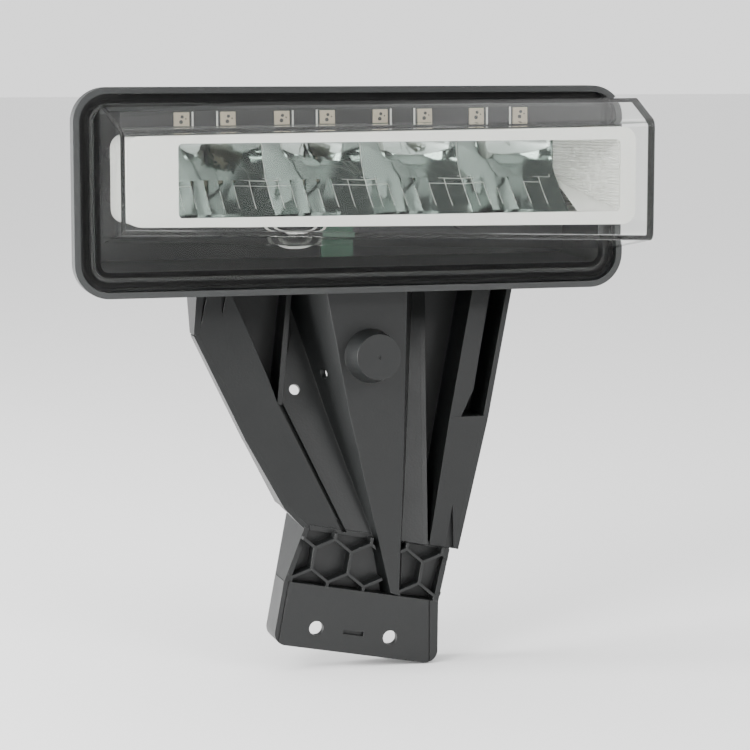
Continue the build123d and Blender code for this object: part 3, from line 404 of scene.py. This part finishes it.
# What the wing takes the place of: a leg of the frame and the last bowl's end wall, as boxes in the lamp's frame
BEZEL_LEG = ((103.0, 24.0, 1.0), (109.5, 46.0, 11.2))
END_WALL = ((92.75, 9.0, -8.75), (95.6, 43.5, 23.95))


def wing():
    """Wing with round flutes along its slope, and the ramp below it."""
    run = Vector((WING_END[0] - WING_START[0], WING_END[1] - WING_START[1])).normalized()
    out = Vector((-run.y, run.x))
    bm = bmesh.new()
    grid = []
    for i in range(FLUTES * FLUTE_STEPS + 1):
        share = i / (FLUTES * FLUTE_STEPS)
        up = WING_LOW + (WING_HIGH - WING_LOW) * share
        lift = FLUTE_DEPTH * abs(math.sin(math.pi * FLUTES * share))
        places = [(*WING_START, lift), (*WING_END, lift), (*WING_END, -WING_THICK), (*WING_START, -WING_THICK)]
        grid.append([bm.verts.new(lamp(x + out.x * h, d + out.y * h, up)) for x, d, h in places])
    for lower, upper in zip(grid, grid[1:]):
        for k in range(4):
            n = (k + 1) % 4
            bm.faces.new((lower[k], lower[n], upper[n], upper[k]))
    bm.faces.new(grid[0])
    bm.faces.new(grid[-1][::-1])
    front, foot_of_ramp = WING_END[1] - RAMP_INSET, WING_LOW + RAMP_INSET
    ramp = [(*WING_START, RAMP_TOP), (WING_END[0], front, foot_of_ramp), (WING_START[0], front, foot_of_ramp)]
    add_block(bm, [lamp(*p) for p in ramp], [lamp(x, d, z - RAMP_THICK) for x, d, z in ramp])
    show(finished("bezel_wing", bm), BEZEL)


# Painted highlights: thin bright slivers along the bowls' rims and facets, in place of the reflections on their edges;
# smallest angle that gets one above and below the midline, half a sliver's width in metres, and the space that the
# bowls take up
RIM_HIGHLIGHT_ANGLE = math.radians(11)
FACET_HIGHLIGHT_ANGLE = math.radians(3)
MIDLINE = lamp(0.0, 0.0, 7.4).z
HIGHLIGHT_HALF = 0.00016
BOWLS_LOW, BOWLS_HIGH = lamp(-92.0, 43.3, -8.6), lamp(92.4, 6.0, 23.0)


def painted_facet_highlights(bank):
    """Painted highlights: bright slivers on the edges of the bowls and of their facets."""
    source = bmesh.new()
    source.from_mesh(bank.data)
    bm = bmesh.new()
    for edge in source.edges:
        ends = [v.co for v in edge.verts]
        inside = all(BOWLS_LOW[i] < p[i] < BOWLS_HIGH[i] for p in ends for i in range(3))
        least = FACET_HIGHLIGHT_ANGLE if max(p.z for p in ends) < MIDLINE else RIM_HIGHLIGHT_ANGLE
        if not inside or len(edge.link_faces) != 2 or edge.calc_face_angle() < least:
            continue
        along = ends[1] - ends[0]
        if along.length < MERGE:
            continue
        across = along.orthogonal().normalized() * HIGHLIGHT_HALF
        other = along.cross(across).normalized() * HIGHLIGHT_HALF
        corners = (across, other, -across, -other)
        add_block(bm, [ends[0] + c for c in corners], [ends[1] + c for c in corners])
    source.free()
    # The slivers take the bezel's bright colour as painted highlights where the facet edges would reflect the lights.
    show(finished("painted_facet_highlights", bm), BEZEL)


def optics():
    """Frame and bowls opened where the wing runs between them."""
    leg = bmesh.new()
    add_box(leg, lamp, *BEZEL_LEG)
    carved("bezel_frame", "bezel", leg, BEZEL)
    end_wall = bmesh.new()
    add_box(end_wall, lamp, *END_WALL)
    bank = carved("reflector_bank", "reflector", end_wall, MIRROR, FACET_ANGLE)
    # Painted highlights along the bowls' rims and facet edges.
    painted_facet_highlights(bank)
    wing()


# Running-light packages: their places along the strip, as in the CAD, and the marks on each
CELL_PITCH = 46.4
CELLS = 4
PAIR = 21.3
PAIR_SHIFT = -4.35
LED_LEVEL = 33.4
LED_FRONT = 12.0
BROW_SLOPE = math.tan(math.radians(0.6))
LED_MARKS = ((0.2, 1.1, 0.75), (-0.3, -1.2, 0.9), (1.9, 0.2, 0.35))
MARK_THICK = 0.05
MARK_SIDES = 12
WINDOW_EDGE_SHIFT = 5.0
WINDOW_EDGE_HALF = 0.35
WINDOW_EDGE_FORWARD = (11.5, 12.3)
WINDOW_EDGE_UP = (-3.6, 3.4)


def running_lights():
    """Dark die marks on the light packages and bright window edges beside them."""
    marks = bmesh.new()
    edges = bmesh.new()
    for cell in range(CELLS):
        for side in (-1, 1):
            x = CELL_PITCH * (cell - (CELLS - 1) / 2) + PAIR_SHIFT + side * PAIR / 2
            up = LED_LEVEL + x * BROW_SLOPE
            for dx, dz, r in LED_MARKS:
                add_disc(marks, lamp, (x + dx, up + dz), r, LED_FRONT, LED_FRONT + MARK_THICK, MARK_SIDES)
            inner = x - side * WINDOW_EDGE_SHIFT
            add_box(edges, lamp, (inner - WINDOW_EDGE_HALF, WINDOW_EDGE_FORWARD[0], up + WINDOW_EDGE_UP[0]),
                    (inner + WINDOW_EDGE_HALF, WINDOW_EDGE_FORWARD[1], up + WINDOW_EDGE_UP[1]))
    show(finished("led_marks", marks), INK)
    show(finished("window_edges", edges), BEZEL)


bracket()
optics()
running_lights()


# Surround: white at the horizon, a darker band above it, and a bright ceiling
SKY = [(0.0, 0.72), (0.05, 0.72), (0.12, 0.14), (0.52, 0.14), (0.72, 1.0)]
SKY_STRENGTH = 2.2
FLOOR_COLOUR = (0.86, 0.86, 0.86)
FLOOR_ROUGHNESS = 0.9

# Area lights: name, place, size and power
LIGHTS = (
    ("key", (-1.2, -0.9, 0.9), 0.7, 26.0),
    ("fill", (0.9, -1.3, 0.9), 0.6, 12.0),
    ("side", (-1.5, 0.15, 0.25), 0.7, 95.0),
)


def stage():
    """Pale floor, soft lights and a white surround."""
    low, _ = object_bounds()
    bpy.ops.mesh.primitive_plane_add(size=FLOOR_SIZE, location=(0, 0, low[2] - FLOOR_DROP))
    floor = bpy.context.object
    floor.name = "floor"
    material, _, shader = principled("floor_pale")
    shader.inputs["Base Color"].default_value = (*FLOOR_COLOUR, 1)
    shader.inputs["Roughness"].default_value = FLOOR_ROUGHNESS
    floor.data.materials.append(material)
    floor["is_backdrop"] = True
    world = bpy.data.worlds.new("surround")
    bpy.context.scene.world = world
    world.use_nodes = True
    tree = world.node_tree
    way = tree.nodes.new("ShaderNodeTexCoord")
    parts = tree.nodes.new("ShaderNodeSeparateXYZ")
    ramp = tree.nodes.new("ShaderNodeValToRGB")
    while len(ramp.color_ramp.elements) < len(SKY):
        ramp.color_ramp.elements.new(0.5)
    for stop, (height, shade) in zip(ramp.color_ramp.elements, SKY):
        stop.position = height
        stop.color = (shade, shade, shade, 1)
    tree.links.new(way.outputs["Generated"], parts.inputs["Vector"])
    tree.links.new(parts.outputs["Z"], ramp.inputs["Fac"])
    tree.links.new(ramp.outputs["Color"], tree.nodes["Background"].inputs["Color"])
    tree.nodes["Background"].inputs["Strength"].default_value = SKY_STRENGTH
    for name, place, size, power in LIGHTS:
        light = bpy.data.lights.new(name, "AREA")
        light.size = size
        light.energy = power
        holder = bpy.data.objects.new(name, light)
        bpy.context.scene.collection.objects.link(holder)
        holder.location = place
        holder.rotation_euler = (TARGET - Vector(place)).to_track_quat("-Z", "Y").to_euler()


def camera():
    """Camera at the photograph's angle."""
    away = Vector((-math.sin(CAMERA_YAW) * math.cos(CAMERA_PITCH), -math.cos(CAMERA_YAW) * math.cos(CAMERA_PITCH),
                   math.sin(CAMERA_PITCH)))
    lens = bpy.data.cameras.new("camera")
    lens.lens = CAMERA_LENS
    lens.sensor_width = CAMERA_SENSOR
    eye = bpy.data.objects.new("camera", lens)
    bpy.context.scene.collection.objects.link(eye)
    eye.location = TARGET + away * CAMERA_DISTANCE
    eye.rotation_euler = (-away).to_track_quat("-Z", "Y").to_euler()
    bpy.context.scene.camera = eye


stage()
camera()
